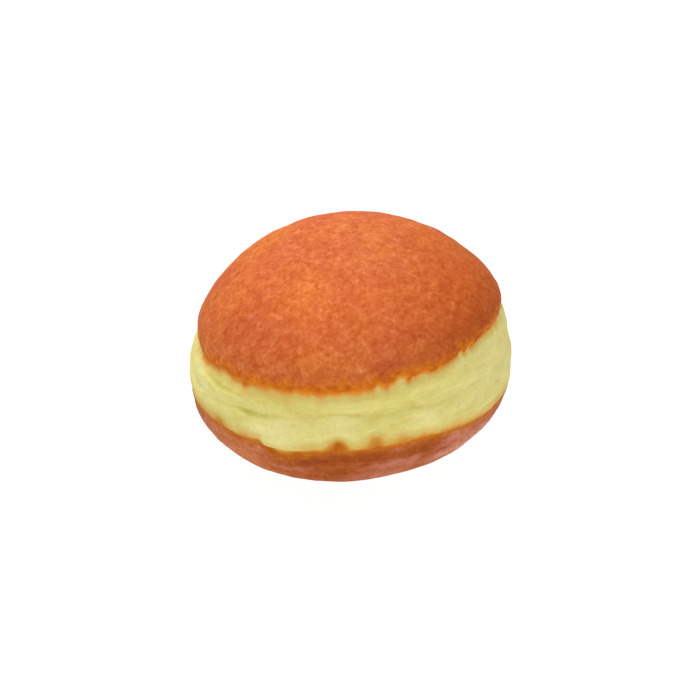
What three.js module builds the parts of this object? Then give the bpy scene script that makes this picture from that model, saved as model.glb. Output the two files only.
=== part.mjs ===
// Berliner doughnut: a round of yeast dough that floats while it fries, first on one side and then on the
// other. That browns a high cap and a low base, and leaves a soft pale collar between them.
//
// Millimetres, +Z up. The origin is under the middle of the doughnut, on the surface that it rests on.
// Azimuth 0 is +X and azimuth 90 is +Y, in degrees. The front of the doughnut faces -Y.

import * as THREE from "three";
import { ParametricGeometry } from "three/addons/geometries/ParametricGeometry.js";

// Driving dimensions
const HEIGHT = 58.6;
const CAP_RADIUS = 41.4;
const CAP_EDGE_HEIGHT = 36.0;
const COLLAR_RADIUS = 43.5;
const BASE_EDGE_HEIGHT = 20.3;
const FOOT_RADIUS = 16.8;

// The collar is widest at this share of the way from the base's edge up to the cap's edge
const WIDEST_SHARE = 0.25;

// Just below its edge the browned base lies this far inside the collar, which rolls over it in a soft lip
const BASE_INSET = 0.75;
const LIP_HEIGHT = 2.5;
const INSET_FADE_HEIGHT = 6;

// Powers of the quarter ovals that the cap and the underside follow: 1 is an ellipse, less is boxier
const CAP_OVAL = 1.08;
const UNDERSIDE_OVAL = 0.82;

// Unevenness round the doughnut: how many crests a wave has, its size, and the azimuth of one crest
const CAP_EDGE_RISE = [
  { crests: 1, size: 1.7, azimuth: -35 },
  { crests: 2, size: 1.0, azimuth: -78 },
  { crests: 3, size: 0.9, azimuth: -32 },
];
const CAP_EDGE_REACH = [
  { crests: 1, size: 0.25, azimuth: 16 },
  { crests: 2, size: 0.27, azimuth: 40 },
  { crests: 3, size: 0.22, azimuth: -4 },
];
const BASE_EDGE_RISE = [
  { crests: 1, size: 3.7, azimuth: -166 },
  { crests: 2, size: 0.6, azimuth: -19 },
  { crests: 3, size: 1.0, azimuth: 51 },
];
const COLLAR_REACH = [
  { crests: 1, size: 0.5, azimuth: 165 },
  { crests: 2, size: 0.56, azimuth: 5 },
  { crests: 3, size: 0.8, azimuth: -25 },
];
const BASE_INSET_CHANGE = [
  { crests: 2, size: 0.55, azimuth: -92 },
];

// Soft grooves: one runs along the cap's edge, the other is a fold round the collar
const CAP_GROOVE = { depth: 0.6, width: 1.4 };
const COLLAR_FOLD = { depth: 0.7, width: 1.8 };

// The fold runs at this share of the collar's height and wanders up and down by the waves
const FOLD_SHARE = 0.58;
const FOLD_WANDER = [
  { crests: 3, size: 0.06, azimuth: -95 },
  { crests: 5, size: 0.03, azimuth: -125 },
];

// Lumps (push above 0) and dents (push below 0): the direction of each from the core of the dough, its
// spread over the surface and how far it pushes
const CORE_HEIGHT = 26;
const LUMPS = [
  { azimuth: 24, elevation: 28, spread: 7, push: -0.35 },
  { azimuth: 155, elevation: 22, spread: 10, push: -0.35 },
  { azimuth: -157, elevation: -8, spread: 6, push: 0.6 },
  { azimuth: -176, elevation: 0, spread: 7, push: -0.7 },
  { azimuth: -14, elevation: -18, spread: 6, push: -0.3 },
  { azimuth: -30, elevation: -24, spread: 7, push: -0.4 },
  { azimuth: 100, elevation: 12, spread: 11, push: -0.6 },
  { azimuth: 70, elevation: -8, spread: 10, push: 0.6 },
  { azimuth: 128, elevation: -16, spread: 9, push: -0.5 },
];

// Lumps fade out below this height, so that the foot stays flat
const LUMP_FADE_HEIGHT = 4;

// Mesh rows, counted from the middle of the foot up to the crown, and segments round the doughnut
const FOOT_ROWS = 1;
const BASE_ROWS = 14;
const LOWER_COLLAR_ROWS = 5;
const UPPER_COLLAR_ROWS = 10;
const CAP_ROWS = 18;
const BASE_START = FOOT_ROWS;
const COLLAR_START = BASE_START + BASE_ROWS;
const WIDEST_ROW = COLLAR_START + LOWER_COLLAR_ROWS;
const CAP_START = WIDEST_ROW + UPPER_COLLAR_ROWS;
const ROW_COUNT = CAP_START + CAP_ROWS;
const SEGMENTS = 72;

// Colours and finish of the fried dough
const CAP_COLOUR = new THREE.Color("#cf6a35");
const COLLAR_COLOUR = new THREE.Color("#dbce80");
const BASE_COLOUR = new THREE.Color("#a95d35");
const CRUST_ROUGHNESS = 0.7;

function radians(degrees) {
  return THREE.MathUtils.degToRad(degrees);
}

// Sum of a list of waves at one azimuth in radians
function sumOfWaves(waves, azimuth) {
  let sum = 0;
  for (const wave of waves) {
    sum += wave.size * Math.cos(wave.crests * (azimuth - radians(wave.azimuth)));
  }
  return sum;
}

// Bell curve: 1 at the middle, falling off over the given width
function bell(distance, width) {
  return Math.exp(-0.5 * (distance / width) ** 2);
}

// Sizes at one azimuth: the two lines where browned crust meets the collar, and the collar's widest line
function girth(azimuth) {
  const capHeight = CAP_EDGE_HEIGHT + sumOfWaves(CAP_EDGE_RISE, azimuth);
  const baseHeight = BASE_EDGE_HEIGHT + sumOfWaves(BASE_EDGE_RISE, azimuth);
  return {
    capHeight,
    baseHeight,
    widestHeight: THREE.MathUtils.lerp(baseHeight, capHeight, WIDEST_SHARE),
    foldHeight: THREE.MathUtils.lerp(baseHeight, capHeight, FOLD_SHARE + sumOfWaves(FOLD_WANDER, azimuth)),
    capRadius: CAP_RADIUS + sumOfWaves(CAP_EDGE_REACH, azimuth),
    widestRadius: COLLAR_RADIUS + sumOfWaves(COLLAR_REACH, azimuth),
    baseInset: BASE_INSET + sumOfWaves(BASE_INSET_CHANGE, azimuth),
  };
}

// Point of the oval underside, where quarter runs from a right angle at the foot to 0 at the widest line
function undersideProfile(sizes, quarter) {
  const outward = Math.cos(quarter) ** UNDERSIDE_OVAL;
  const downward = Math.sin(quarter) ** UNDERSIDE_OVAL;
  const height = sizes.widestHeight * (1 - downward);
  const underLip = THREE.MathUtils.smoothstep(sizes.baseHeight - height, 0, LIP_HEIGHT);
  const aboveFoot = THREE.MathUtils.smoothstep(height, 0, INSET_FADE_HEIGHT);
  const inset = sizes.baseInset * underLip * aboveFoot;
  return {
    radius: FOOT_RADIUS + (sizes.widestRadius - FOOT_RADIUS) * outward - inset,
    height,
  };
}

// Quarter angle at which the underside reaches the base's edge
function baseEdgeQuarter(sizes) {
  const downward = 1 - sizes.baseHeight / sizes.widestHeight;
  return Math.asin(downward ** (1 / UNDERSIDE_OVAL));
}

// Point of the collar above its widest line, from there (share 0) to the cap's edge (share 1)
function upperCollarProfile(sizes, share) {
  return {
    radius: sizes.widestRadius - (sizes.widestRadius - sizes.capRadius) * share ** 2,
    height: THREE.MathUtils.lerp(sizes.widestHeight, sizes.capHeight, share),
  };
}

// Point of the browned cap, from its edge (share 0) to the crown (share 1)
function capProfile(sizes, share) {
  const quarter = share * Math.PI / 2;
  return {
    radius: sizes.capRadius * Math.max(Math.cos(quarter), 0) ** CAP_OVAL,
    height: sizes.capHeight + (HEIGHT - sizes.capHeight) * Math.sin(quarter) ** CAP_OVAL,
  };
}

// Point of the smooth profile at a row, which may lie between two mesh rows
function smoothProfile(sizes, row) {
  if (row <= BASE_START) {
    return { radius: FOOT_RADIUS * row / FOOT_ROWS, height: 0 };
  }
  if (row <= COLLAR_START) {
    const share = (row - BASE_START) / BASE_ROWS;
    return undersideProfile(sizes, THREE.MathUtils.lerp(Math.PI / 2, baseEdgeQuarter(sizes), share));
  }
  if (row <= WIDEST_ROW) {
    const share = (row - COLLAR_START) / LOWER_COLLAR_ROWS;
    return undersideProfile(sizes, baseEdgeQuarter(sizes) * (1 - share));
  }
  if (row <= CAP_START) {
    return upperCollarProfile(sizes, (row - WIDEST_ROW) / UPPER_COLLAR_ROWS);
  }
  return capProfile(sizes, (row - CAP_START) / CAP_ROWS);
}

// How deep the grooves press in at one height
function grooveDepth(sizes, height) {
  const atCap = CAP_GROOVE.depth * bell(height - sizes.capHeight, CAP_GROOVE.width);
  const atFold = COLLAR_FOLD.depth * bell(height - sizes.foldHeight, COLLAR_FOLD.width);
  return atCap + atFold;
}

// How far the lumps and dents push a point away from the core; reach is the point seen from the core
function lumpPush(reach, height) {
  const direction = new THREE.Vector3();
  let push = 0;
  for (const lump of LUMPS) {
    // Spherical coordinates in three.js stand on +Y, so the axes are turned round to stand on +Z
    direction.setFromSphericalCoords(1, radians(90 - lump.elevation), radians(lump.azimuth));
    direction.set(direction.z, direction.x, direction.y);
    const overSurface = reach.length() * reach.angleTo(direction);
    push += lump.push * bell(overSurface, lump.spread);
  }
  return push * THREE.MathUtils.smoothstep(height, 0, LUMP_FADE_HEIGHT);
}

// Outer surface: turn goes once round the doughnut, climb goes from the foot's middle to the crown
function skin(turn, climb, target) {
  const azimuth = turn * 2 * Math.PI;
  const sizes = girth(azimuth);
  const point = smoothProfile(sizes, climb * ROW_COUNT);
  const radius = point.radius - grooveDepth(sizes, point.height);
  const core = new THREE.Vector3(0, 0, CORE_HEIGHT);
  const reach = new THREE.Vector3(radius * Math.cos(azimuth), radius * Math.sin(azimuth), point.height);
  reach.sub(core);
  reach.setLength(reach.length() + lumpPush(reach, point.height));
  target.addVectors(core, reach);
}

// Colour of the dough at a row: browned below and above the pale collar
function doughColour(row) {
  if (row < COLLAR_START) {
    return BASE_COLOUR;
  }
  return row > CAP_START ? CAP_COLOUR : COLLAR_COLOUR;
}

// One colour for each corner of the mesh, from how far up the doughnut it lies
function paintDough(geometry) {
  const climbs = geometry.attributes.uv;
  const colours = new THREE.Float32BufferAttribute(climbs.count * 3, 3);
  for (let corner = 0; corner < climbs.count; corner += 1) {
    const row = Math.round(climbs.getY(corner) * ROW_COUNT);
    const colour = doughColour(row);
    colours.setXYZ(corner, colour.r, colour.g, colour.b);
  }
  geometry.setAttribute("color", colours);
}

// The doughnut is one piece of dough, centred over the origin
function makeDoughnut() {
  const geometry = new ParametricGeometry(skin, SEGMENTS, ROW_COUNT);
  paintDough(geometry);
  geometry.computeBoundingBox();
  const middle = geometry.boundingBox.getCenter(new THREE.Vector3());
  geometry.translate(-middle.x, -middle.y, 0);
  const material = new THREE.MeshStandardMaterial({
    vertexColors: true,
    roughness: CRUST_ROUGHNESS,
    metalness: 0,
  });
  const mesh = new THREE.Mesh(geometry, material);
  mesh.name = "doughnut";
  return mesh;
}

const berliner = new THREE.Group();
berliner.add(makeDoughnut());

export default berliner;
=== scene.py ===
"""Berliner doughnut: one round of fried yeast dough with a browned cap, a pale collar and a browned base.

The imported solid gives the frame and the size. This script repeats its form on a finer mesh, adds the crust's
relief and the wrinkles of the collar, and colours the dough as frying does. Sizes in the tables are in
millimetres, and azimuth 0 is +X and azimuth 90 is +Y, in degrees. The front of the doughnut faces -Y.
"""

import math

import bmesh
import bpy
import numpy as np
from bpy.props import FloatProperty, FloatVectorProperty, PointerProperty
from mathutils import Matrix, Vector, noise


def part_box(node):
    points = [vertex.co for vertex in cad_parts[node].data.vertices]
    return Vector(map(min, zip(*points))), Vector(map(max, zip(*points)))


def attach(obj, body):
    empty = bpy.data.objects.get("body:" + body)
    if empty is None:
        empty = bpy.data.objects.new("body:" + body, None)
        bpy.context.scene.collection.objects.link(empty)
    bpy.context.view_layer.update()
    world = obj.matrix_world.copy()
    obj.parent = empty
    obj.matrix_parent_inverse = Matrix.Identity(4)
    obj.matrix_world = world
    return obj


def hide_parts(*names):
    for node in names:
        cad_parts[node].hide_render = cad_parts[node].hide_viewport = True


bl_info = {
    "name": "Berliner doughnut",
    "version": (1, 0, 0),
    "blender": (4, 5, 0),
    "location": "View3D > Sidebar > Berliner",
    "description": "Fried yeast doughnut without a hole, on a white light table",
    "category": "Add Mesh",
}

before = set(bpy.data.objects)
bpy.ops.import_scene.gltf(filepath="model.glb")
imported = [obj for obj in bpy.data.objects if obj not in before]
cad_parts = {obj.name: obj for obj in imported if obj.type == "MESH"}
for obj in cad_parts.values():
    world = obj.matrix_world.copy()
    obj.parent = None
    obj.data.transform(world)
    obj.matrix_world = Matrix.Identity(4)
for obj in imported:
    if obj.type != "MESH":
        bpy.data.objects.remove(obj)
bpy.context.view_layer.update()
CAD_LOW, CAD_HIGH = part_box("doughnut")

MM = 0.001
FULL_TURN = 360.0
RIGHT_ANGLE = math.pi / 2

# A cube from -1 to 1, cut into this many strips each way and rounded, gives even quads of about half a
# millimetre
CUBE_WIDTH = 2.0
GRID_STRIPS = 128

# Form of the dough, as in the solid
WIDEST_SHARE = 0.25
BASE_INSET = 0.75
LIP_HEIGHT = 2.5
INSET_FADE_HEIGHT = 6.0
CAP_OVAL = 1.08
UNDERSIDE_OVAL = 0.82
CAP_GROOVE_DEPTH = 0.6
CAP_GROOVE_WIDTH = 1.4
COLLAR_FOLD_DEPTH = 0.7
COLLAR_FOLD_WIDTH = 1.8
FOLD_SHARE = 0.58
CORE_HEIGHT = 26.0
LUMP_FADE_HEIGHT = 4.0

# Waves round the doughnut: crests, size, azimuth of one crest
CAP_EDGE_RISE = ((1, 1.7, -35), (2, 1.0, -78), (3, 0.9, -32))
CAP_EDGE_REACH = ((1, 0.25, 16), (2, 0.27, 40), (3, 0.22, -4))
BASE_EDGE_RISE = ((1, 3.7, -166), (2, 0.6, -19), (3, 1.0, 51))
COLLAR_REACH = ((1, 0.5, 165), (2, 0.56, 5), (3, 0.8, -25))
BASE_INSET_CHANGE = ((2, 0.55, -92),)
FOLD_WANDER = ((3, 0.06, -95), (5, 0.03, -125))

# Lumps and dents: azimuth, elevation from the core, spread over the surface, push
LUMPS = (
    (24, 28, 7, -0.35),
    (155, 22, 10, -0.35),
    (-157, -8, 6, 0.6),
    (-176, 0, 7, -0.7),
    (-14, -18, 6, -0.3),
    (-30, -24, 7, -0.4),
    (100, 12, 11, -0.6),
    (70, -8, 10, 0.6),
    (128, -16, 9, -0.5),
)

# Where the climb from the middle of the foot (0) to the crown (1) passes from one stretch to the next
FOOT_CLIMB = 0.139
BASE_CLIMB = 0.437
WIDEST_CLIMB = 0.470
CAP_CLIMB = 0.570

# Places where the cap's crust ends higher: azimuth, spread in degrees, rise
CAP_NICKS = (
    (-89.0, 7.0, 0.9),
    (-73.0, 2.5, 0.8),
    (-108.0, 2.0, 0.5),
    (-143.0, 3.0, 0.6),
    (35.0, 5.0, 0.8),
    (112.0, 6.0, 0.9),
    (170.0, 4.0, 0.7),
)

# Places where the base's crust ends higher, or lower: azimuth, spread in degrees, rise
BASE_NICKS = (
    (-97.3, 1.3, 0.3),
    (-127.0, 2.6, 0.5),
    (-90.5, 2.2, -0.5),
    (-83.5, 2.0, 0.5),
    (-66.0, 3.0, 0.6),
    (-42.0, 8.0, -0.9),
    (20.0, 3.0, 1.4),
    (95.0, 2.4, 1.6),
)

# Stretches where the collar hangs over the base: azimuth of the steep end, of the far end, drop
BASE_DROPS = (
    (-125.5, -104.0, 2.4),
    (132.0, 155.0, 1.9),
)

# A drop is steep over its first degrees, with a gap under that end, and fades out after one part in this many
DROP_STEEPNESS = 2.4
DROP_PARTS = 3
DROP_GAP_DEPTH = 0.6
DROP_GAP_WIDTH = 0.5
DROP_GAP_SPREAD = 2.4

# Stray browning on the collar: azimuth, height, spread, how far it lifts the browning
SMEARS = (
    (-97.0, 23.2, 1.8, 2.7),
    (-84.4, 24.4, 1.9, 2.7),
    (-75.0, 23.0, 1.6, 0.9),
    (-141.0, 24.5, 1.6, 0.8),
    (20.0, 18.5, 1.8, 1.4),
    (60.0, 20.5, 1.8, 1.2),
    (95.0, 22.5, 1.8, 1.5),
    (168.0, 26.5, 1.8, 1.0),
)

# The cap gets browner towards its right side, from the first X to the second, and there its browning ends more
# sharply
BROWNER_FROM = 3.0
BROWNER_TO = 38.0
SHARP_EDGE_AT = -30.0
SHARP_EDGE_SPREAD = 22.0
SHARP_EDGE_GAIN = 0.5

# Crease along the collar's fold: azimuth, how far above the fold's own line it runs, depth
FOLD_CREASE = (
    (-165.0, -0.3, 0.16),
    (-150.0, -0.6, 0.06),
    (-138.0, -0.8, 0.16),
    (-129.0, -1.0, 0.36),
    (-123.0, -1.0, 0.34),
    (-116.0, -0.5, 0.18),
    (-107.0, -0.3, 0.04),
    (-100.0, 0.2, 0.20),
    (-90.0, 0.2, 0.24),
    (-85.5, -0.1, 0.04),
    (-82.0, -1.0, 0.20),
    (-75.0, -1.3, 0.12),
    (-69.0, -1.0, 0.22),
    (-61.0, -1.5, 0.10),
    (-54.0, -1.2, 0.0),
    (-35.0, 0.2, 0.04),
    (-15.0, 0.4, 0.16),
    (10.0, -0.4, 0.28),
    (24.0, 0.3, 0.05),
    (48.0, 0.7, 0.30),
    (62.0, -0.2, 0.06),
    (84.0, 0.6, 0.26),
    (100.0, 0.2, 0.04),
    (122.0, -0.6, 0.32),
    (138.0, 0.3, 0.05),
    (160.0, -0.4, 0.26),
    (178.0, 0.2, 0.06),
)
CREASE_WIDTH = 0.58
CREASE_WAVER = 0.6

# Stretches where the dough is stretched tight and the fold is shallower: azimuth, spread in degrees, filling
TIGHT_STRETCHES = (
    (-24.0, 20.0, 0.5),
    (-110.0, 5.0, 0.2),
    (70.0, 12.0, 0.3),
    (142.0, 10.0, 0.3),
)

# Short wrinkles in the collar: azimuth, height, half length in degrees, depth, rise over one degree
WRINKLES = (
    (-143.0, 33.2, 8.0, 0.38, -0.03),
    (-41.0, 33.0, 5.0, 0.22, 0.0),
    (5.0, 32.6, 6.0, 0.26, -0.04),
    (37.0, 24.5, 5.0, 0.24, 0.05),
    (92.0, 32.5, 6.0, 0.26, 0.03),
    (128.0, 25.5, 5.0, 0.24, -0.05),
    (170.0, 28.0, 5.0, 0.22, 0.04),
)
WRINKLE_WIDTH = 0.5
WRINKLE_WAVER = 1.2
WRINKLE_WAVER_LENGTH = 9.0

# Below each wrinkle the dough swells to a low ridge
RIDGE_SHARE = 0.6
RIDGE_DROP = 1.3
RIDGE_WIDTH = 0.9

# Fine wrinkles spread over the collar by seeded draws, with shifts in shares of their even spacing
FINE_WRINKLE_COUNT = 70
FINE_WRINKLE_SEED = 11
FINE_WRINKLE_SHIFTS = (-0.5, 0.5)
FINE_WRINKLE_HEIGHTS = (23.0, 34.0)
FINE_WRINKLE_HALF_LENGTHS = (1.5, 4.5)
FINE_WRINKLE_DEPTHS = (0.05, 0.17)
FINE_WRINKLE_RISES = (-0.08, 0.08)

# Whiter spots of the collar, stretched dough and painted highlights: azimuth, height, spread, strength
PALE_AND_LIT_SPOTS = (
    (-158.0, 31.5, 4.5, 0.7),
    (-149.0, 28.5, 3.0, 0.4),
    (-127.0, 26.0, 2.5, 0.6),
    (-117.0, 25.5, 3.4, 0.9),
    (-107.0, 24.6, 2.6, 0.3),
    (-95.0, 28.2, 2.8, 0.7),
    (-64.0, 25.5, 3.6, 0.6),
    (-32.0, 29.5, 9.0, 0.5),
    (40.0, 26.0, 6.0, 0.7),
    (104.0, 27.0, 5.0, 0.7),
    (150.0, 28.0, 6.0, 0.5),
)

# Spots where the cap is lighter, or redder (change below 0): azimuth, height, spread, change
CAP_TONES = (
    (-102.0, 49.0, 6.5, 0.65),
    (-160.0, 55.0, 6.0, 0.9),
    (-150.0, 49.0, 6.0, -0.8),
    (-47.0, 54.5, 7.0, -0.35),
    (20.0, 48.0, 9.0, 0.5),
    (75.0, 51.0, 9.0, -0.5),
    (128.0, 47.0, 9.0, 0.6),
    (175.0, 46.0, 7.0, -0.4),
)

# Spots where the base is paler, or darker (change below 0), partly painted light: azimuth, height, spread,
# change
BASE_TONES_AND_LIGHT = (
    (-148.0, 17.0, 7.0, 0.30),
    # Darker under the front of the collar, partly painted shade
    (-94.0, 15.0, 8.0, -0.12),
    # Painted light from the white table below, low on the front of the base
    (-86.0, 7.0, 7.0, 0.14),
    (-62.0, 8.0, 7.0, 0.13),
    # Painted sheen at the front right
    (-43.0, 14.0, 7.0, 0.34),
    (15.0, 11.0, 9.0, -0.10),
    (70.0, 12.0, 9.0, 0.14),
    (120.0, 11.0, 9.0, -0.10),
    (172.0, 13.0, 8.0, 0.10),
)

# Spots where the base is lighter and more orange: azimuth, height, spread, strength
BASE_WARM = (
    (-139.0, 15.5, 8.5, 0.90),
    (30.0, 13.0, 8.0, 0.4),
    (108.0, 14.0, 8.0, 0.4),
)

# Spots fade out between these radii, so that they don't all meet in the middle of the underside
SPOT_FADE_RADII = (8.0, 28.0)

# The noise reaches about this far either way, and a draw shifts a pattern to another part of the noise
NOISE_REACH = 0.6

# Jagged edges of the crust: length of one tooth along the edge and how far it reaches up or down
CAP_TEETH = ((9.0, 0.35), (4.2, 0.40), (2.2, 0.25))
CAP_TEETH_DRAW = 0.0
BASE_TEETH = ((12.0, 0.45), (5.0, 0.35), (2.2, 0.15))
BASE_TEETH_DRAW = 40.0

# Relief in the mesh: length of one swell and its height
CAP_SWELLS = ((11.0, 0.26), (4.2, 0.12), (2.0, 0.085))
CAP_SWELL_DRAW = 17.0
BASE_SWELLS = ((9.0, 0.20), (3.6, 0.10), (1.9, 0.07))
BASE_SWELL_DRAW = 53.0

# Stretched relief that runs round the doughnut: length and height of one swell, and its relief
COLLAR_CREASES = ((13.0, 2.8, 0.26), (7.0, 1.5, 0.10))
COLLAR_CREASE_DRAW = 0.0
BASE_CREASES = ((12.0, 2.4, 0.24), (6.0, 1.4, 0.10))
BASE_CREASE_DRAW = 31.0

# A crust thickens across its edge, between these millimetres inside it, and the collar's creases fade out
# before they reach it
CRUST_THICKNESS = 0.18
CRUST_START = (-0.6, 1.2)
EDGE_FEATHER = 1.6

# Groove under the collar's lip: its depth, its width and how far inside the base's edge it runs
LIP_GROOVE_DEPTH = 0.45
LIP_GROOVE_WIDTH = 0.6
LIP_GROOVE_DROP = 0.8

# The relief starts between these heights, so that the foot stays flat
RELIEF_START_HEIGHTS = (0.2, 2.5)


def linear(hex_colour):
    """Linear colour, with alpha, from an sRGB hex value"""
    channels = []
    for start in (1, 3, 5):
        value = int(hex_colour[start:start + 2], 16) / 255
        if value <= 0.04045:
            channels.append(value / 12.92)
        else:
            channels.append(((value + 0.055) / 1.055) ** 2.4)
    return (*channels, 1.0)


def colour_property(name, description, hex_colour):
    """Colour that a user may change"""
    return FloatVectorProperty(
        name=name,
        description=description,
        subtype="COLOR",
        size=4,
        min=0.0,
        max=1.0,
        default=linear(hex_colour),
    )


def number_property(name, description, default, **kind):
    """Number that a user may change; kind holds its unit, subtype or limits"""
    return FloatProperty(name=name, description=description, default=default, **kind)


def length_property(name, description, millimetres):
    """Length that a user may change"""
    return number_property(name, description, millimetres * MM, unit="LENGTH", min=0.0)


def angle_property(name, description, degrees):
    """Angle that a user may change"""
    return number_property(name, description, math.radians(degrees), subtype="ANGLE")


class BerlinerSizes(bpy.types.PropertyGroup):
    """Main sizes of the doughnut"""

    height: number_property("Height", "From the table to the crown", CAD_HIGH.z - CAD_LOW.z, unit="LENGTH")
    cap_radius: length_property("Cap radius", "Radius of the browned cap at its edge", 41.4)
    cap_edge_height: length_property("Cap edge height", "Mean height of the cap's edge", 36.0)
    collar_radius: length_property("Collar radius", "Mean radius of the collar where it is widest", 43.5)
    base_edge_height: length_property("Base edge height", "Mean height of the browned base's edge", 20.3)
    foot_radius: length_property("Foot radius", "Radius of the flat spot that the doughnut rests on", 16.8)


class BerlinerColours(bpy.types.PropertyGroup):
    """Colours of the fried dough"""

    cap: colour_property("Cap", "Browned crust of the cap", "#d77234")
    cap_red: colour_property("Cap, redder", "Redder blotches of the cap", "#d06637")
    cap_brown: colour_property("Cap, browner", "Browner side of the cap", "#bf5920")
    # Partly painted glint: light specks on the blisters of the crust
    cap_light: colour_property("Light specks", "Light blisters on the crust", "#f0a06c")
    cap_dark: colour_property("Dark specks", "Dark pits in the crust", "#a4481a")
    rim: colour_property("Rim", "Golden band along the cap's edge", "#e27b14")
    fringe: colour_property("Fringe", "Half-browned fringe of the crust", "#eca246")
    fringe_brown: colour_property("Fringe, browner", "Browner side of the fringe", "#e58f27")
    burnt: colour_property("Burnt", "Dark blobs along the cap's edge", "#c05706")
    straw: colour_property("Straw", "Dough just outside the crust", "#e6bf64")
    collar: colour_property("Collar", "Unbrowned dough", "#e4d882")
    collar_shade: colour_property("Collar, deeper", "Deeper tone of the unbrowned dough", "#dbce71")
    # Partly painted highlight: whiter stretched dough, and highlights painted on the collar's bulges
    collar_white_and_lit: colour_property("Collar, whiter", "Stretched, whiter dough", "#f1e7a4")
    # Painted shade: the colour that darkens the bottom of each wrinkle and the gap under the collar's lip
    wrinkle: colour_property("Wrinkles", "Tint at the bottom of a wrinkle", "#d5d27c")
    base: colour_property("Base", "Browned crust of the base", "#a5501c")
    base_dark: colour_property("Base, darker", "Darker streaks of the base", "#8f4012")
    # Partly painted light: pinker where light from the white table is painted on the low front
    base_pink: colour_property("Base, pinker", "Pinker streaks of the base", "#c47a62")
    base_warm: colour_property("Base, warmer", "Lighter, more orange spots of the base", "#ce7846")
    # Partly painted sheen: the grey pink of the least browned spots and of the sheen at the front right
    base_faded_and_sheen: colour_property("Base, faded", "Least browned spots of the base", "#c89276")
    base_straw: colour_property("Base straw", "Dough just outside the base's crust", "#dab65f")
    base_fringe: colour_property("Base fringe", "Half-browned fringe of the base", "#d19636")
    base_rim: colour_property("Base rim", "Golden brown band along the base's edge", "#c0690b")


class BerlinerStage(bpy.types.PropertyGroup):
    """Camera and light"""

    elevation: angle_property("Elevation", "How far the camera looks down", 32.0)
    roll: angle_property("Roll", "How far the camera is turned about its line of sight", 5.0)
    distance: length_property("Distance", "From the camera to the middle of the doughnut", 450.0)
    lens: number_property("Lens", "Focal length in millimetres", 84.8, unit="CAMERA")
    key: number_property("Key light", "Power of the softbox overhead", 36.0, unit="POWER")
    front: number_property("Front light", "Power of the softbox in front", 17.5, unit="POWER")
    back: number_property("Back light", "Power of the softbox behind", 8.1, unit="POWER")
    side: number_property("Side light", "Power of the softbox at the back, on the right", 8.0, unit="POWER")
    fill: number_property("Fill", "Strength of the white room", 0.32)
    table_glow: number_property("Table glow", "Light that the table gives off", 0.97)


# Shape of the dough


def wave_sum(waves, azimuth):
    """Sum of waves round the doughnut at each azimuth in radians"""
    total = np.zeros_like(azimuth)
    for crests, size, crest_at in waves:
        total += size * np.cos(crests * (azimuth - math.radians(crest_at)))
    return total


def bell(distance, width):
    """1 in the middle, falling off over the width"""
    return np.exp(-0.5 * (distance / width) ** 2)


def ease(value, start, end):
    """0 before start, 1 after end and a smooth step between them"""
    share = np.clip((value - start) / (end - start), 0.0, 1.0)
    return share * share * (3.0 - 2.0 * share)


def turn_from(azimuth, degrees):
    """Signed angle in degrees from a given azimuth, the short way round"""
    gap = azimuth - math.radians(degrees)
    return np.degrees(np.arctan2(np.sin(gap), np.cos(gap)))


def ring(azimuth, radius, height):
    """Points at each azimuth, radius and height, one row each"""
    return np.stack([radius * np.cos(azimuth), radius * np.sin(azimuth), height], axis=1)


def swells(points, length):
    """Smooth noise from about -1 to 1 at each point, with swells of the given length"""
    return np.array([noise.noise(Vector(point)) for point in points / length])


def jagged(azimuth, radius, teeth, draw):
    """Uneven line round the doughnut, the sum of teeth of several lengths"""
    circle = ring(azimuth, radius, np.full_like(azimuth, draw))
    total = np.zeros_like(azimuth)
    for length, reach in teeth:
        total += reach * swells(circle, length) / NOISE_REACH
    return total


def spotted(spots, azimuth, radius, height):
    """Sum of a list of round spots on the side of the dough at each point"""
    total = np.zeros_like(azimuth)
    for spot_at, spot_height, spread, strength in spots:
        along = np.radians(turn_from(azimuth, spot_at)) * radius
        total += strength * bell(np.hypot(along, height - spot_height), spread)
    return total * ease(radius, *SPOT_FADE_RADII)


class Girth:
    """Sizes of the dough, in millimetres, at each azimuth"""

    def __init__(self, sizes, azimuth):
        self.foot_radius = sizes.foot_radius / MM
        self.height = sizes.height / MM
        self.cap_height = sizes.cap_edge_height / MM + wave_sum(CAP_EDGE_RISE, azimuth)
        self.base_height = sizes.base_edge_height / MM + wave_sum(BASE_EDGE_RISE, azimuth)
        self.cap_radius = sizes.cap_radius / MM + wave_sum(CAP_EDGE_REACH, azimuth)
        self.widest_radius = sizes.collar_radius / MM + wave_sum(COLLAR_REACH, azimuth)
        self.base_inset = BASE_INSET + wave_sum(BASE_INSET_CHANGE, azimuth)
        collar = self.cap_height - self.base_height
        self.widest_height = self.base_height + WIDEST_SHARE * collar
        self.fold_height = self.base_height + (FOLD_SHARE + wave_sum(FOLD_WANDER, azimuth)) * collar
        drop = 1.0 - self.base_height / self.widest_height
        self.base_quarter = np.arcsin(drop ** (1.0 / UNDERSIDE_OVAL))


def underside(girth, quarter):
    """Radius and height on the oval underside, from the foot (a right angle) to the widest line (0)"""
    outward = np.clip(np.cos(quarter), 0.0, 1.0) ** UNDERSIDE_OVAL
    downward = np.clip(np.sin(quarter), 0.0, 1.0) ** UNDERSIDE_OVAL
    height = girth.widest_height * (1.0 - downward)
    under_lip = ease(girth.base_height - height, 0.0, LIP_HEIGHT)
    inset = girth.base_inset * under_lip * ease(height, 0.0, INSET_FADE_HEIGHT)
    radius = girth.foot_radius + (girth.widest_radius - girth.foot_radius) * outward - inset
    return radius, height


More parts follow.
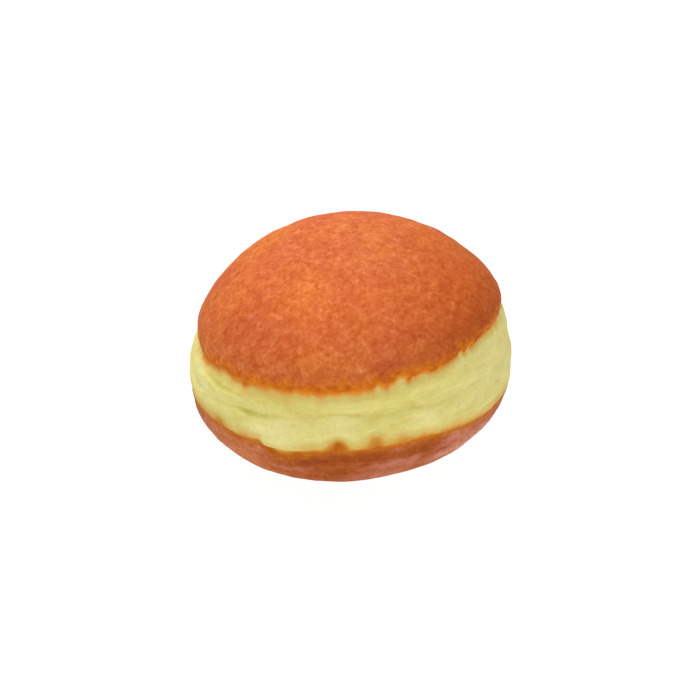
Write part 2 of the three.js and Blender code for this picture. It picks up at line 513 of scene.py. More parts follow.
def smooth_profile(girth, climb):
    """Radius and height of the smooth dough for each climb from the middle of the foot to the crown"""
    on_base = np.clip((climb - FOOT_CLIMB) / (BASE_CLIMB - FOOT_CLIMB), 0.0, 1.0)
    base = underside(girth, RIGHT_ANGLE + (girth.base_quarter - RIGHT_ANGLE) * on_base)
    on_lower = np.clip((climb - BASE_CLIMB) / (WIDEST_CLIMB - BASE_CLIMB), 0.0, 1.0)
    lower = underside(girth, girth.base_quarter * (1.0 - on_lower))
    on_upper = np.clip((climb - WIDEST_CLIMB) / (CAP_CLIMB - WIDEST_CLIMB), 0.0, 1.0)
    upper_radius = girth.widest_radius - (girth.widest_radius - girth.cap_radius) * on_upper ** 2
    upper_height = girth.widest_height + (girth.cap_height - girth.widest_height) * on_upper
    quarter = np.clip((climb - CAP_CLIMB) / (1.0 - CAP_CLIMB), 0.0, 1.0) * RIGHT_ANGLE
    cap_radius = girth.cap_radius * np.clip(np.cos(quarter), 0.0, 1.0) ** CAP_OVAL
    cap_height = girth.cap_height + (girth.height - girth.cap_height) * np.sin(quarter) ** CAP_OVAL
    stretches = [climb <= end for end in (FOOT_CLIMB, BASE_CLIMB, WIDEST_CLIMB, CAP_CLIMB)]
    foot_radius = girth.foot_radius * climb / FOOT_CLIMB
    radius = np.select(stretches, [foot_radius, base[0], lower[0], upper_radius], cap_radius)
    height = np.select(stretches, [np.zeros_like(climb), base[1], lower[1], upper_height], cap_height)
    return radius, height


def groove_depth(girth, height):
    """How deep the grooves at the cap's edge and at the collar's fold press in"""
    at_cap = CAP_GROOVE_DEPTH * bell(height - girth.cap_height, CAP_GROOVE_WIDTH)
    at_fold = COLLAR_FOLD_DEPTH * bell(height - girth.fold_height, COLLAR_FOLD_WIDTH)
    return at_cap + at_fold


def push_lumps(points):
    """Points moved away from the core of the dough, or towards it, by the lumps and dents"""
    reach = points - np.array([0.0, 0.0, CORE_HEIGHT])
    length = np.linalg.norm(reach, axis=1)
    push = np.zeros_like(length)
    for azimuth, elevation, spread, size in LUMPS:
        across = math.cos(math.radians(elevation))
        direction = np.array([
            across * math.cos(math.radians(azimuth)),
            across * math.sin(math.radians(azimuth)),
            math.sin(math.radians(elevation)),
        ])
        angle = np.arccos(np.clip(reach @ direction / length, -1.0, 1.0))
        push += size * bell(length * angle, spread)
    push *= ease(points[:, 2], 0.0, LUMP_FADE_HEIGHT)
    return points + reach * (push / length)[:, None]


def edge_distances(girth, azimuth, radius, height):
    """Millimetres inside the cap's jagged edge and inside the base's, below 0 on the collar"""
    cap_gap = np.hypot(radius - girth.cap_radius, height - girth.cap_height)
    above_cap_edge = np.where(height > girth.cap_height, cap_gap, -cap_gap)
    above_cap_edge += jagged(azimuth, girth.cap_radius, CAP_TEETH, CAP_TEETH_DRAW)
    for nick_at, spread, rise in CAP_NICKS:
        above_cap_edge -= rise * bell(turn_from(azimuth, nick_at), spread)
    above_cap_edge *= 1.0 + SHARP_EDGE_GAIN * bell(turn_from(azimuth, SHARP_EDGE_AT), SHARP_EDGE_SPREAD)
    edge_radius, edge_height = underside(girth, girth.base_quarter)
    base_gap = np.hypot(radius - edge_radius, height - edge_height)
    below_base_edge = np.where(height < edge_height, base_gap, -base_gap)
    below_base_edge += jagged(azimuth, girth.widest_radius, BASE_TEETH, BASE_TEETH_DRAW)
    for nick_at, spread, rise in BASE_NICKS:
        below_base_edge += rise * bell(turn_from(azimuth, nick_at), spread)
    for steep_at, far_at, drop in BASE_DROPS:
        turn = turn_from(azimuth, steep_at)
        length = far_at - steep_at
        fade = 1.0 - ease(turn, length / DROP_PARTS, length)
        below_base_edge -= drop * ease(turn, 0.0, DROP_STEEPNESS) * fade
    below_base_edge += spotted(SMEARS, azimuth, radius, height)
    return above_cap_edge, below_base_edge


def fine_wrinkles():
    """Small wrinkles spread over the collar, one row each as in WRINKLES"""
    draw = np.random.default_rng(FINE_WRINKLE_SEED)
    wrinkles = []
    for number in range(FINE_WRINKLE_COUNT):
        wrinkles.append((
            FULL_TURN * (number + draw.uniform(*FINE_WRINKLE_SHIFTS)) / FINE_WRINKLE_COUNT,
            draw.uniform(*FINE_WRINKLE_HEIGHTS),
            draw.uniform(*FINE_WRINKLE_HALF_LENGTHS),
            draw.uniform(*FINE_WRINKLE_DEPTHS),
            draw.uniform(*FINE_WRINKLE_RISES),
        ))
    return wrinkles


def wrinkle_relief(girth, azimuth, points, below_base_edge):
    """Depth of the collar's wrinkles and of the gap under its lip, and height of the ridges below them"""
    waver = WRINKLE_WAVER * swells(points, WRINKLE_WAVER_LENGTH)
    places, rises, depths = zip(*FOLD_CREASE)
    crease_height = girth.fold_height + np.interp(np.degrees(azimuth), places, rises, period=FULL_TURN)
    crease_depth = np.interp(np.degrees(azimuth), places, depths, period=FULL_TURN)
    above_crease = points[:, 2] - crease_height - CREASE_WAVER * waver
    depth = crease_depth * bell(above_crease, CREASE_WIDTH)
    ridge = RIDGE_SHARE * crease_depth * bell(above_crease + RIDGE_DROP, RIDGE_WIDTH)
    for wrinkle_at, height, half_length, size, rise in (*WRINKLES, *fine_wrinkles()):
        turn = turn_from(azimuth, wrinkle_at)
        along = bell(turn, half_length)
        above = points[:, 2] - height - waver - rise * turn
        depth += size * along * bell(above, WRINKLE_WIDTH)
        ridge += RIDGE_SHARE * size * along * bell(above + RIDGE_DROP, RIDGE_WIDTH)
    for steep_at, *_ in BASE_DROPS:
        along = bell(turn_from(azimuth, steep_at + DROP_STEEPNESS / 2), DROP_GAP_SPREAD)
        depth += DROP_GAP_DEPTH * along * bell(below_base_edge - DROP_GAP_WIDTH / 2, DROP_GAP_WIDTH)
    return depth, ridge


def dough_relief(girth, azimuth, points, above_cap_edge, below_base_edge):
    """Relief of the crusts, of the collar's creases and of its wrinkles, and the depth of the wrinkles"""
    cap = ease(above_cap_edge, *CRUST_START)
    base = ease(below_base_edge, *CRUST_START)
    off_cap = 1.0 - ease(above_cap_edge, -EDGE_FEATHER, 0.0)
    off_base = 1.0 - ease(below_base_edge, -EDGE_FEATHER, 0.0)
    collar = off_cap * off_base
    relief = CRUST_THICKNESS * (cap + base)
    relief -= LIP_GROOVE_DEPTH * bell(below_base_edge - LIP_GROOVE_DROP, LIP_GROOVE_WIDTH)
    for share, rows, draw in ((cap, CAP_SWELLS, CAP_SWELL_DRAW), (base, BASE_SWELLS, BASE_SWELL_DRAW)):
        for length, height in rows:
            relief += height * share * swells(points + draw, length)
    for share, rows, draw in (
        (collar, COLLAR_CREASES, COLLAR_CREASE_DRAW),
        (base, BASE_CREASES, BASE_CREASE_DRAW),
    ):
        for length, height, size in rows:
            relief += size * share * swells(points / np.array([length, length, height]) + draw, 1.0)
    wrinkles, ridges = wrinkle_relief(girth, azimuth, points, below_base_edge)
    relief += ridges - wrinkles
    along_fold = bell(points[:, 2] - girth.fold_height, COLLAR_FOLD_WIDTH)
    for tight_at, spread, filling in TIGHT_STRETCHES:
        relief += filling * along_fold * bell(turn_from(azimuth, tight_at), spread)
    return relief * ease(points[:, 2], *RELIEF_START_HEIGHTS), wrinkles


def set_points(mesh, points):
    """Move the mesh's vertices to the given points, in millimetres"""
    mesh.vertices.foreach_set("co", (points * MM).astype(np.float32).ravel())
    mesh.update()


def get_vectors(mesh, name):
    """Positions or normals of the mesh's vertices, one row each"""
    values = np.empty(len(mesh.vertices) * 3, dtype=np.float32)
    mesh.vertices.foreach_get(name, values)
    return values.reshape(-1, 3).astype(np.float64)


def finished_mesh(name, shape):
    """Mesh made from a bmesh, which is then freed"""
    mesh = bpy.data.meshes.new(name)
    shape.to_mesh(mesh)
    shape.free()
    return mesh


def rounded_cube():
    """Mesh of a cube cut into a fine grid, which rounds to a ball of even quads without poles"""
    shape = bmesh.new()
    bmesh.ops.create_cube(shape, size=CUBE_WIDTH)
    bmesh.ops.subdivide_edges(shape, edges=shape.edges[:], cuts=GRID_STRIPS - 1, use_grid_fill=True)
    return finished_mesh("berliner", shape)


def shape_dough(mesh, sizes):
    """Turn the fine cube into the doughnut, with its relief and the attributes that its material reads"""
    ball = np.tan(get_vectors(mesh, "co") * math.pi / 4)
    ball /= np.linalg.norm(ball, axis=1)[:, None]
    azimuth = np.arctan2(ball[:, 1], ball[:, 0])
    climb = np.arccos(np.clip(-ball[:, 2], -1.0, 1.0)) / math.pi
    girth = Girth(sizes, azimuth)
    radius, height = smooth_profile(girth, climb)
    above_cap_edge, below_base_edge = edge_distances(girth, azimuth, radius, height)
    radius = radius - groove_depth(girth, height)
    points = push_lumps(ring(azimuth, radius, height))
    middle = (points.min(axis=0) + points.max(axis=0)) / 2
    points -= np.array([middle[0], middle[1], 0.0])
    set_points(mesh, points)
    relief, wrinkles = dough_relief(girth, azimuth, points, above_cap_edge, below_base_edge)
    set_points(mesh, points + get_vectors(mesh, "normal") * relief[:, None])
    attributes = {
        "above_cap_edge": above_cap_edge,
        "below_base_edge": below_base_edge,
        # Depth of the wrinkles and of the gap under the lip, which the material paints as shade
        "wrinkle": wrinkles,
        "whiteness": spotted(PALE_AND_LIT_SPOTS, azimuth, radius, height),
        "base_paleness": spotted(BASE_TONES_AND_LIGHT, azimuth, radius, height),
        "base_warmth": spotted(BASE_WARM, azimuth, radius, height),
        "cap_lightness": spotted(CAP_TONES, azimuth, radius, height),
        "cap_browning": ease(points[:, 0], BROWNER_FROM, BROWNER_TO),
    }
    for name, values in attributes.items():
        attribute = mesh.attributes.new(name, "FLOAT", "POINT")
        attribute.data.foreach_set("value", values.astype(np.float32))


# Materials

# Sockets of a Mix node that mixes colours, which share their names with its other sockets
MIX_A = 6
MIX_B = 7

# Output that is used where it isn't a node's first
MAIN_OUTPUTS = {"Attribute": "Fac", "Mix": 2, "TexCoord": "Object"}

# Settings that many nodes share
MIXED = {"data_type": "RGBA"}
TINTED = {"data_type": "RGBA", "blend_type": "MULTIPLY"}
SMOOTH = {"interpolation_type": "SMOOTHSTEP"}

BLACK = (0.0, 0.0, 0.0, 1.0)
WHITE = (1.0, 1.0, 1.0, 1.0)
NEW_STOP = 0.5

# Patterns of the fried dough: width of one feature, how many times as wide as high it is, and the detail and
# roughness of its noise. The finest real pores are a tenth of a millimetre and wouldn't show, so the grain is
# drawn at about half a millimetre.
PATTERNS = {
    "blotches": (13.0, 1.0, 3.0, 0.6),
    "streaks": (11.0, 2.75, 4.0, 0.6),
    "patches": (9.0, 3.0, 3.0, 0.55),
    "raggedness": (9.0, 1.0, 0.0, 0.5),
    "pale_streaks": (5.0, 0.12, 0.0, 0.5),
    "skin": (3.0, 3.0 / 1.1, 3.0, 0.6),
    "blobs": (2.8, 1.0, 2.0, 0.5),
    "mottle": (2.6, 1.0, 2.0, 0.5),
    "teeth": (2.2, 0.3, 1.0, 0.4),
    "pits": (1.5, 1.0, 2.0, 0.6),
    "specks": (1.2, 1.0, 3.0, 0.7),
    "grain": (0.55, 1.0, 2.0, 0.5),
}

# The dark pits lie in another slice of the noise than the other patterns
PIT_SLICE = 3.0

# Levels of a pattern between which most of it lies, or between which a feature starts and is full
NOISE_MIDDLE = 0.5
NOISE_LEVELS = (0.3, 0.7)
CALM_NOISE_LEVELS = (0.35, 0.65)
BLOB_LEVELS = (0.42, 0.62)
LIGHT_SPECK_LEVELS = (0.60, 0.80)
DARK_PIT_LEVELS = (0.57, 0.78)
PALE_STREAK_LEVELS = (0.0, 0.18)

# Teeth, crumbs and pale streaks along the crusts' edges: how far each moves the edge, the factors on teeth
# and streaks in calm and in ragged stretches of the cap's edge, and the base's share of the teeth
TOOTH_REACH = (-0.5, 0.5)
CRUMB_REACH = (-0.22, 0.22)
PALE_STREAK_REACH = (1.3, 0.0)
RAGGEDNESS = (0.3, 1.2)
BASE_TOOTH_SHARE = 0.6

# The bands along an edge lie between these millimetres inside it, so below 0 they lie on the collar
EDGE_SPAN = (-6.0, 10.0)

# Browning across a crust's edge: millimetres inside the edge, colour, cover
CAP_BROWNING = (
    (-3.28, "straw", 0.0),
    (-1.36, "straw", 0.75),
    (-0.56, "fringe", 1.0),
    (0.24, "fringe_brown", 1.0),
    (1.04, "rim", 1.0),
)
BASE_BROWNING = (
    (-3.44, "base_straw", 0.0),
    (-1.04, "base_straw", 0.9),
    (-0.08, "base_fringe", 1.0),
    (1.28, "base_rim", 1.0),
)

# Band along the cap's edge that holds the burnt blobs, and their cover on its paler and its browner side
BURNT_BAND = ((-0.08, BLACK), (0.4, WHITE), (1.2, WHITE), (2.96, BLACK))
BURNT_COVER = (0.5, 0.95)

# Stretches inside the edges over which a look starts: the crusts' own tones, the crown's painted sheen, the
# grain, and the painted shade that darkens the cap towards its edge, with the factors on its colour
CAP_TONE_START = (0.9, 5.0)
BASE_TONE_START = (0.6, 4.8)
CROWN_SHEEN_START = (20.0, 46.0)
GRAIN_START = (0.4, 2.0)
CAP_EDGE_SHADE_START = (3.0, 26.0)
CAP_EDGE_SHADE_FACTORS = (0.91, 1.0)

# Tones of the collar and the base along their patterns: level, colour
COLLAR_SHADES = ((0.32, "collar_shade"), (0.62, "collar"))
BASE_SHADES = ((0.20, "base_dark"), (0.50, "base"), (0.80, "base_pink"), (1.00, "base_faded_and_sheen"))

# Whiter spots, partly painted highlights, and warm spots follow their pattern, lifted by this much
PALE_AND_LIT_LIFT = 0.3
WARM_LIFT = 0.4
SKIN_FACTORS = (0.96, 1.04)

# Factors on the colour in the cap's lighter spots, and at its crown, where the bluer tint is painted sheen
LIGHT_SPOT_TINT = (1.09, 1.20, 1.05, 1.0)
CROWN_PAINTED_SHEEN = (0.98, 1.02, 1.24, 1.0)

# Factors on the colour at the bottom of the crust's pits, darker as grain and painted shade, and at the top of
# its blisters, lighter and bluer as grain and painted glints, and the patterns that hold them, with the level
# of their pits
PIT_TINT_AND_SHADE = (0.84, 0.59, 0.28, 1.0)
BLISTER_TINT_AND_GLINT = (1.16, 1.41, 1.72, 1.0)
GRAIN_PATTERNS = (("specks", 0.25), ("mottle", 0.12))

# Shares of the grain on the collar and the base, of the light specks on the base, and the cover of the dots
COLLAR_GRAIN_SHARE = 0.15
BASE_GRAIN_SHARE = 0.75
BASE_SPECK_SHARE = 0.35
LIGHT_SPECK_COVER = (0.0, 0.40)
DARK_PIT_COVER = (0.0, 0.55)

# Depths of a wrinkle, or of the gap under the lip, between which its painted shade starts and is full
WRINKLE_SHADE_DEPTHS = (0.1, 0.6)

# Fine relief and gloss
BLISTER_DEPTH = 0.25
GRAIN_DEPTH = 0.08
SKIN_DEPTH = 0.22
COLLAR_BLISTER_SHARE = 0.2
CRUST_ROUGHNESS = (0.74, 0.86)
COLLAR_ROUGHNESS = 0.6
DOUGH_IOR = 1.45
DOUGH_SPECULAR = 0.12
SUBSURFACE_WEIGHT = 0.15
SUBSURFACE_RADIUS = (1.0, 0.45, 0.2)
SUBSURFACE_DEPTH = 1.5

TABLE_COLOUR = "#595959"
TABLE_ROUGHNESS = 0.9


def new_material(name):
    """Material with an empty node tree"""
    material = bpy.data.materials.new(name)
    material.use_nodes = True
    material.node_tree.nodes.clear()
    return material


def add_node(tree, kind, inputs=None, stops=(), **settings):
    """Add a shader node and return its main output, if it has one

    Inputs are values, or sockets to link, by name or number, and a pair under From or To fills both ends of
    that range. Stops are the positions and colours of a ramp, and settings are the node's own.
    """
    node = tree.nodes.new("ShaderNode" + kind)
    for name, value in settings.items():
        setattr(node, name, value)
    if stops:
        ramp = node.color_ramp
        while len(ramp.elements) < len(stops):
            ramp.elements.new(NEW_STOP)
        for element, (position, colour) in zip(ramp.elements, stops):
            element.position = position
            element.color = colour
    for key, value in (inputs or {}).items():
        pairs = ((key, value),)
        if key in ("From", "To"):
            pairs = zip((key + " Min", key + " Max"), value)
        for name, source in pairs:
            if isinstance(source, bpy.types.NodeSocket):
                tree.links.new(source, node.inputs[name])
            else:
                node.inputs[name].default_value = source
    if node.outputs:
        return node.outputs[MAIN_OUTPUTS.get(kind, 0)]
    return None


def dough_patterns(tree):
    """Noise of each pattern of the dough, by name"""
    place = add_node(tree, "TexCoord")
    patterns = {}
    for name, (width, flatness, detail, roughness) in PATTERNS.items():
        flattened = add_node(tree, "Mapping", {"Vector": place, "Scale": (1.0, 1.0, flatness)})
        inputs = {"Vector": flattened, "Scale": 1.0 / (width * MM), "Detail": detail, "Roughness": roughness}
        patterns[name] = add_node(tree, "TexNoise", inputs)
    pits = patterns["pits"].node
    pits.noise_dimensions = "4D"
    pits.inputs["W"].default_value = PIT_SLICE
    return patterns


def crust_edges(tree, patterns):
    """Millimetres inside the cap's edge and the base's, made uneven by teeth, pale streaks and crumbs"""
    tooth = add_node(tree, "MapRange", {"Value": patterns["teeth"], "From": NOISE_LEVELS, "To": TOOTH_REACH})
    crumbly = {"Value": patterns["specks"], "From": NOISE_LEVELS, "To": CRUMB_REACH}
    crumbs = add_node(tree, "MapRange", crumbly)

    # Streaks of paler dough follow the middle level of a stretched noise and reach up into the cap
    off_middle = add_node(tree, "Math", {0: patterns["pale_streaks"], 1: NOISE_MIDDLE}, operation="SUBTRACT")
    off_streak = add_node(tree, "Math", {0: off_middle}, operation="ABSOLUTE")
    reach = {"Value": off_streak, "From": PALE_STREAK_LEVELS, "To": PALE_STREAK_REACH}
    streak_rise = add_node(tree, "MapRange", reach, **SMOOTH)
    uneven = add_node(tree, "Math", {0: tooth, 1: streak_rise}, operation="SUBTRACT")

    # Some stretches of the cap's edge are more ragged than others
    stretches = {"Value": patterns["raggedness"], "From": CALM_NOISE_LEVELS, "To": RAGGEDNESS}
    raggedness = add_node(tree, "MapRange", stretches)
    edges = []
    for name, change, share in (
        ("above_cap_edge", uneven, raggedness),
        ("below_base_edge", tooth, BASE_TOOTH_SHARE),
    ):
        edge = add_node(tree, "Attribute", attribute_name=name)
        rough = add_node(tree, "Math", {0: edge, 1: crumbs}, operation="ADD")
        edges.append(add_node(tree, "Math", {0: change, 1: share, 2: rough}, operation="MULTIPLY_ADD"))
    return edges


def edge_bands(tree, inside, bands):
    """Bands of colour along a crust's edge, from their places in millimetres inside it"""
    start, end = EDGE_SPAN
    step = add_node(tree, "MapRange", {"Value": inside, "From": EDGE_SPAN})
    stops = [((place - start) / (end - start), colour) for place, colour in bands]
    return add_node(tree, "ValToRGB", {"Fac": step}, stops)


def browning_bands(colours, browning):
    """Colours of a crust's edge, with their cover as alpha"""
    return [(place, (*getattr(colours, name)[:3], cover)) for place, name, cover in browning]


def mix_spots(tree, tone, spots, pattern, lift, colour):
    """Tone with another colour in the spots of an attribute, broken up by a pattern"""
    strength = add_node(tree, "Attribute", attribute_name=spots)
    lifted = add_node(tree, "Math", {0: pattern, 1: lift}, operation="ADD")
    share = add_node(tree, "Math", {0: strength, 1: lifted}, operation="MULTIPLY", use_clamp=True)
    return add_node(tree, "Mix", {"Factor": share, MIX_A: tone, MIX_B: colour}, **MIXED)


def collar_dough(tree, patterns, colours):
    """Colour of the unbrowned collar: pale yellow, long deeper patches, whiter stretched dough, painted
    highlights
    """
    patches = patterns["patches"]
    shades = [(level, getattr(colours, name)) for level, name in COLLAR_SHADES]
    pale = add_node(tree, "ValToRGB", {"Fac": patches}, shades)
    # Whiter stretched dough and painted highlights on the collar's bulges
    dough = mix_spots(tree, pale, "whiteness", patches, PALE_AND_LIT_LIFT, colours.collar_white_and_lit)
    skin = add_node(tree, "MapRange", {"Value": patterns["skin"], "From": NOISE_LEVELS, "To": SKIN_FACTORS})
    return add_node(tree, "Mix", {"Factor": 1.0, MIX_A: dough, MIX_B: skin}, **TINTED)


def cap_crust(tree, patterns, colours, above_cap):
    """Colour of the browned cap and its cover, from a straw fringe through a burnt rim to orange brown"""
    blotch = add_node(tree, "MapRange", {"Value": patterns["blotches"], "From": CALM_NOISE_LEVELS}, **SMOOTH)
    browner = add_node(tree, "Attribute", attribute_name="cap_browning")
    lightness = add_node(tree, "Attribute", attribute_name="cap_lightness")
    # Towards the crown a paler, bluer tint is painted sheen
    crown = add_node(tree, "MapRange", {"Value": above_cap, "From": CROWN_SHEEN_START}, **SMOOTH)
    tone = colours.cap
    for share, layer, way in (
        (blotch, colours.cap_red, MIXED),
        (browner, colours.cap_brown, MIXED),
        (lightness, LIGHT_SPOT_TINT, {**TINTED, "clamp_factor": False}),
        (crown, CROWN_PAINTED_SHEEN, TINTED),
    ):
        tone = add_node(tree, "Mix", {"Factor": share, MIX_A: tone, MIX_B: layer}, **way)

    # Burnt blobs lie in a narrow band along the edge, and painted shade darkens the whole cap a little towards
    # it
    browning = edge_bands(tree, above_cap, browning_bands(colours, CAP_BROWNING))
    inside = add_node(tree, "MapRange", {"Value": above_cap, "From": CAP_TONE_START}, **SMOOTH)
    band = edge_bands(tree, above_cap, BURNT_BAND)
    cover = add_node(tree, "MapRange", {"Value": browner, "To": BURNT_COVER})
    blobs = {"Value": patterns["blobs"], "From": BLOB_LEVELS, "To": (0.0, cover)}
    blob = add_node(tree, "MapRange", blobs, **SMOOTH)
    burnt = add_node(tree, "Math", {0: band, 1: blob}, operation="MULTIPLY")
    # Painted shade: the cap's colour falls to the first factor towards its edge, where it curves away from the
    # light
    middle = {"Value": above_cap, "From": CAP_EDGE_SHADE_START, "To": CAP_EDGE_SHADE_FACTORS}
    depth = add_node(tree, "MapRange", middle, **SMOOTH)
    crust = browning
    for share, layer, way in ((inside, tone, MIXED), (burnt, colours.burnt, MIXED), (1.0, depth, TINTED)):
        crust = add_node(tree, "Mix", {"Factor": share, MIX_A: crust, MIX_B: layer}, **way)
    return crust, browning.node.outputs["Alpha"]


def base_crust(tree, patterns, colours, below_base):
    """Colour of the browned base and its cover, from straw at the fringe to brown and pinkish streaks"""
    streaks = patterns["streaks"]
    # Paler and darker spots, partly painted light, shade and sheen
    paleness_and_light = add_node(tree, "Attribute", attribute_name="base_paleness")
    shade = add_node(tree, "Math", {0: streaks, 1: paleness_and_light}, operation="ADD")
    shades = [(level, getattr(colours, name)) for level, name in BASE_SHADES]
    streaked = add_node(tree, "ValToRGB", {"Fac": shade}, shades)
    tone = mix_spots(tree, streaked, "base_warmth", streaks, WARM_LIFT, colours.base_warm)
    browning = edge_bands(tree, below_base, browning_bands(colours, BASE_BROWNING))
    inside = add_node(tree, "MapRange", {"Value": below_base, "From": BASE_TONE_START}, **SMOOTH)
    crust = add_node(tree, "Mix", {"Factor": inside, MIX_A: browning, MIX_B: tone}, **MIXED)
    return crust, browning.node.outputs["Alpha"]


def grain_layers(tree, patterns, colours, on_cap, on_base, on_crust):
    """Layers of the crust's grain: lighter and darker by blister with painted glints and shade, then light
    specks and dark pits
    """
    base_grain = add_node(tree, "Math", {0: on_base, 1: BASE_GRAIN_SHARE}, operation="MULTIPLY")
    crust_grain = add_node(tree, "Math", {0: on_cap, 1: base_grain}, operation="MAXIMUM")
    share = add_node(tree, "MapRange", {"Value": crust_grain, "To": (COLLAR_GRAIN_SHARE, 1.0)})
    layers = []
    for name, pit_level in GRAIN_PATTERNS:
        rise = add_node(tree, "MapRange", {"Value": patterns[name], "From": (pit_level, 1.0 - pit_level)})
        tint = add_node(tree, "Mix", {"Factor": rise, MIX_A: PIT_TINT_AND_SHADE, MIX_B: BLISTER_TINT_AND_GLINT}, **MIXED)
        layers.append((share, tint, TINTED))
    lit = add_node(tree, "Math", {0: on_base, 1: BASE_SPECK_SHARE, 2: on_cap}, operation="MULTIPLY_ADD")
    # The light specks are partly painted glints on the blisters
    for name, levels, cover, place, colour in (
        ("specks", LIGHT_SPECK_LEVELS, LIGHT_SPECK_COVER, lit, colours.cap_light),
        ("pits", DARK_PIT_LEVELS, DARK_PIT_COVER, on_crust, colours.cap_dark),
    ):
        dots = add_node(tree, "MapRange", {"Value": patterns[name], "From": levels, "To": cover}, **SMOOTH)
        dot = add_node(tree, "Math", {0: place, 1: dots}, operation="MULTIPLY")
        layers.append((dot, colour, MIXED))
    return layers


def fine_relief(tree, patterns, on_crust):
    """Normal of the dough: blisters and grain, weak on the collar, which has soft stretch marks instead"""
    relief = add_node(tree, "MapRange", {"Value": on_crust, "To": (COLLAR_BLISTER_SHARE, 1.0)})
    off_crust = add_node(tree, "Math", {0: 1.0, 1: on_crust}, operation="SUBTRACT")
    normal = None
    for name, depth, strength in (
        ("specks", BLISTER_DEPTH, relief),
        ("grain", GRAIN_DEPTH, relief),
        ("skin", SKIN_DEPTH, off_crust),
    ):
        inputs = {"Strength": strength, "Distance": depth * MM, "Height": patterns[name]}
        if normal is not None:
            inputs["Normal"] = normal
        normal = add_node(tree, "Bump", inputs)
    return normal


def fried_dough(colours):
    """Fried yeast dough

    Hot fat browns the crust and raises fine blisters on it, which give a matt orange-peel grain with light
    specks on the blisters and dark ones in the pits. The collar floats above the fat, so it stays pale,
    smooth and a little moist, and the browning runs out over it in short teeth with a straw-coloured fringe.
    """
    material = new_material("fried_yeast_dough")
    tree = material.node_tree
    patterns = dough_patterns(tree)
    above_cap, below_base = crust_edges(tree, patterns)
    on_cap = add_node(tree, "MapRange", {"Value": above_cap, "From": GRAIN_START}, **SMOOTH)
    on_base = add_node(tree, "MapRange", {"Value": below_base, "From": GRAIN_START}, **SMOOTH)
    on_crust = add_node(tree, "Math", {0: on_cap, 1: on_base}, operation="MAXIMUM")

    # The two crusts lie over the collar, the grain over them all, and painted shade in the wrinkles
    cap, cap_cover = cap_crust(tree, patterns, colours, above_cap)
    base, base_cover = base_crust(tree, patterns, colours, below_base)
    # Painted shade, deeper where a wrinkle or the gap under the lip is deeper
    wrinkle = add_node(tree, "Attribute", attribute_name="wrinkle")
    wrinkle_shade_share = add_node(tree, "MapRange", {"Value": wrinkle, "From": WRINKLE_SHADE_DEPTHS})
    colour = collar_dough(tree, patterns, colours)
    for share, layer, way in (
        (cap_cover, cap, MIXED),
        (base_cover, base, MIXED),
        *grain_layers(tree, patterns, colours, on_cap, on_base, on_crust),
        (wrinkle_shade_share, colours.wrinkle, TINTED),
    ):
        colour = add_node(tree, "Mix", {"Factor": share, MIX_A: colour, MIX_B: layer}, **way)

    matt = {"Value": patterns["mottle"], "From": NOISE_LEVELS, "To": CRUST_ROUGHNESS}
    crust_roughness = add_node(tree, "MapRange", matt)
    roughness = add_node(tree, "MapRange", {"Value": on_crust, "To": (COLLAR_ROUGHNESS, crust_roughness)})
    shader = add_node(tree, "BsdfPrincipled", {
        "Base Color": colour,
        "Roughness": roughness,
        "Normal": fine_relief(tree, patterns, on_crust),
        "IOR": DOUGH_IOR,
        "Specular IOR Level": DOUGH_SPECULAR,
        "Subsurface Weight": SUBSURFACE_WEIGHT,
        "Subsurface Radius": SUBSURFACE_RADIUS,
        "Subsurface Scale": SUBSURFACE_DEPTH * MM,
    })
    add_node(tree, "OutputMaterial", {"Surface": shader})
    return material


def light_table(glow):
    """Opal white acrylic, lit from below, so that things on it cast almost no shadow"""
    material = new_material("opal_acrylic")
    shader = add_node(material.node_tree, "BsdfPrincipled", {
        "Base Color": linear(TABLE_COLOUR),
        "Roughness": TABLE_ROUGHNESS,
        "Specular IOR Level": 0.0,
        "Emission Color": WHITE,
        "Emission Strength": glow,
    })
    add_node(material.node_tree, "OutputMaterial", {"Surface": shader})
    return material


# Stage

# Height of the doughnut's middle, which the lights face, and where the camera aims to the right of it and
# above it in the picture
MIDDLE_HEIGHT = 29.48
AIM_RIGHT = 0.33
AIM_UP = -4.94
SENSOR_WIDTH = 36.0

# The table lies just below the foot, so that the two faces don't fall together
TABLE_GAP = 0.1

# In metres: half of the table's width, the nearest thing that the camera shows, and the softboxes, with the
# name of the setting that holds the power, the place and the width
TABLE_HALF_SIZE = 6.0
NEAREST_SHOWN = 0.01
SOFTBOXES = (
    ("key", (-0.32, 0.48, 1.89), 1.6),
    ("front", (0.30, -2.38, 0.91), 1.5),
    ("back", (0.30, 2.34, 1.80), 1.8),
    ("side", (1.35, 2.34, 0.90), 1.5),
)


def looking_matrix(place, target, roll):
    """Matrix of a camera or light at a place, looking at a target and rolled about that line"""
    turn = (target - place).to_track_quat("-Z", "Y").to_matrix().to_4x4()
    return Matrix.Translation(place) @ turn @ Matrix.Rotation(roll, 4, "Z")


def add_object(name, data, matrix=None):
    """New object in the scene"""
    thing = bpy.data.objects.new(name, data)
    if matrix is not None:
        thing.matrix_world = matrix
    bpy.context.scene.collection.objects.link(thing)
    return thing


def add_camera(stage):
    """Camera at the photograph's place: above the table, turned a little about its line of sight"""
    middle = Vector((0.0, 0.0, MIDDLE_HEIGHT * MM))
    back = Vector((0.0, -math.cos(stage.elevation), math.sin(stage.elevation)))
    level_right = Vector((1.0, 0.0, 0.0))
    level_up = back.cross(level_right)
    right = level_right * math.cos(stage.roll) - level_up * math.sin(stage.roll)
    up = level_right * math.sin(stage.roll) + level_up * math.cos(stage.roll)
    target = middle + (right * AIM_RIGHT + up * AIM_UP) * MM
    data = bpy.data.cameras.new("camera")
    data.lens = stage.lens
    data.sensor_width = SENSOR_WIDTH
    data.clip_start = NEAREST_SHOWN
    place = middle + back * stage.distance
    bpy.context.scene.camera = add_object("camera", data, looking_matrix(place, target, -stage.roll))


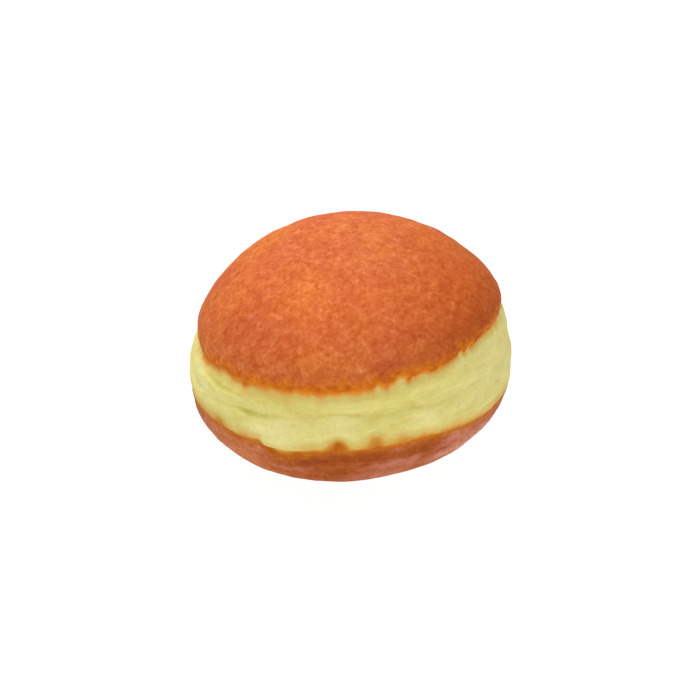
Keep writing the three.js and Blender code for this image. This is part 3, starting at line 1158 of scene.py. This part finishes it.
def add_softbox(name, place, size, power):
    """Square area light that faces the doughnut"""
    data = bpy.data.lights.new(name, "AREA")
    data.size = size
    data.energy = power
    middle = Vector((0.0, 0.0, MIDDLE_HEIGHT * MM))
    add_object(name, data, looking_matrix(Vector(place), middle, 0.0))


def add_table(glow):
    """White light table that the doughnut stands on"""
    shape = bmesh.new()
    bmesh.ops.create_grid(shape, x_segments=1, y_segments=1, size=TABLE_HALF_SIZE)
    bmesh.ops.translate(shape, verts=shape.verts[:], vec=(0.0, 0.0, -TABLE_GAP * MM))
    mesh = finished_mesh("light_table", shape)
    mesh.materials.append(light_table(glow))
    add_object("light_table", mesh)


def light_room(strength):
    """White room all round, which fills the shadows"""
    room = bpy.data.worlds.new("white_room")
    room.use_nodes = True
    background = room.node_tree.nodes["Background"]
    background.inputs["Color"].default_value = WHITE
    background.inputs["Strength"].default_value = strength
    bpy.context.scene.world = room
    bpy.context.scene.view_settings.view_transform = "Standard"


# Operators and panel


class BERLINER_OT_doughnut(bpy.types.Operator):
    """Add the doughnut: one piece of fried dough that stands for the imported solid"""

    bl_idname = "berliner.doughnut"
    bl_label = "Add doughnut"
    bl_options = {"REGISTER", "UNDO"}

    def execute(self, context):
        mesh = rounded_cube()
        shape_dough(mesh, context.scene.berliner_sizes)
        mesh.materials.append(fried_dough(context.scene.berliner_colours))
        mesh.polygons.foreach_set("use_smooth", np.ones(len(mesh.polygons), dtype=bool))
        piece = add_object("berliner", mesh)
        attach(piece, "root")
        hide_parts("doughnut")
        return {"FINISHED"}


class BERLINER_OT_stage(bpy.types.Operator):
    """Add the light table, the white room, the softboxes and the camera"""

    bl_idname = "berliner.stage"
    bl_label = "Add stage"
    bl_options = {"REGISTER", "UNDO"}

    def execute(self, context):
        stage = context.scene.berliner_stage
        add_table(stage.table_glow)
        light_room(stage.fill)
        for name, place, size in SOFTBOXES:
            add_softbox(name + "_softbox", place, size, getattr(stage, name))
        add_camera(stage)
        return {"FINISHED"}


class BERLINER_PT_panel(bpy.types.Panel):
    """Sizes, colours and the buttons that build the doughnut and its stage"""

    bl_idname = "BERLINER_PT_panel"
    bl_label = "Berliner doughnut"
    bl_space_type = "VIEW_3D"
    bl_region_type = "UI"
    bl_category = "Berliner"

    def draw(self, context):
        scene = context.scene
        for settings in (scene.berliner_sizes, scene.berliner_colours, scene.berliner_stage):
            box = self.layout.box()
            for name in settings.__annotations__:
                box.prop(settings, name)
        self.layout.operator(BERLINER_OT_doughnut.bl_idname)
        self.layout.operator(BERLINER_OT_stage.bl_idname)


CLASSES = (
    BerlinerSizes,
    BerlinerColours,
    BerlinerStage,
    BERLINER_OT_doughnut,
    BERLINER_OT_stage,
    BERLINER_PT_panel,
)


def register():
    """Make the classes and their settings known to Blender"""
    for each in CLASSES:
        bpy.utils.register_class(each)
    bpy.types.Scene.berliner_sizes = PointerProperty(type=BerlinerSizes)
    bpy.types.Scene.berliner_colours = PointerProperty(type=BerlinerColours)
    bpy.types.Scene.berliner_stage = PointerProperty(type=BerlinerStage)


def unregister():
    """Take the classes and their settings out of Blender"""
    del bpy.types.Scene.berliner_stage
    del bpy.types.Scene.berliner_colours
    del bpy.types.Scene.berliner_sizes
    for each in reversed(CLASSES):
        bpy.utils.unregister_class(each)


def main():
    """Build the doughnut and its stage"""
    register()
    bpy.ops.berliner.doughnut()
    bpy.ops.berliner.stage()


if __name__ == "__main__":
    main()
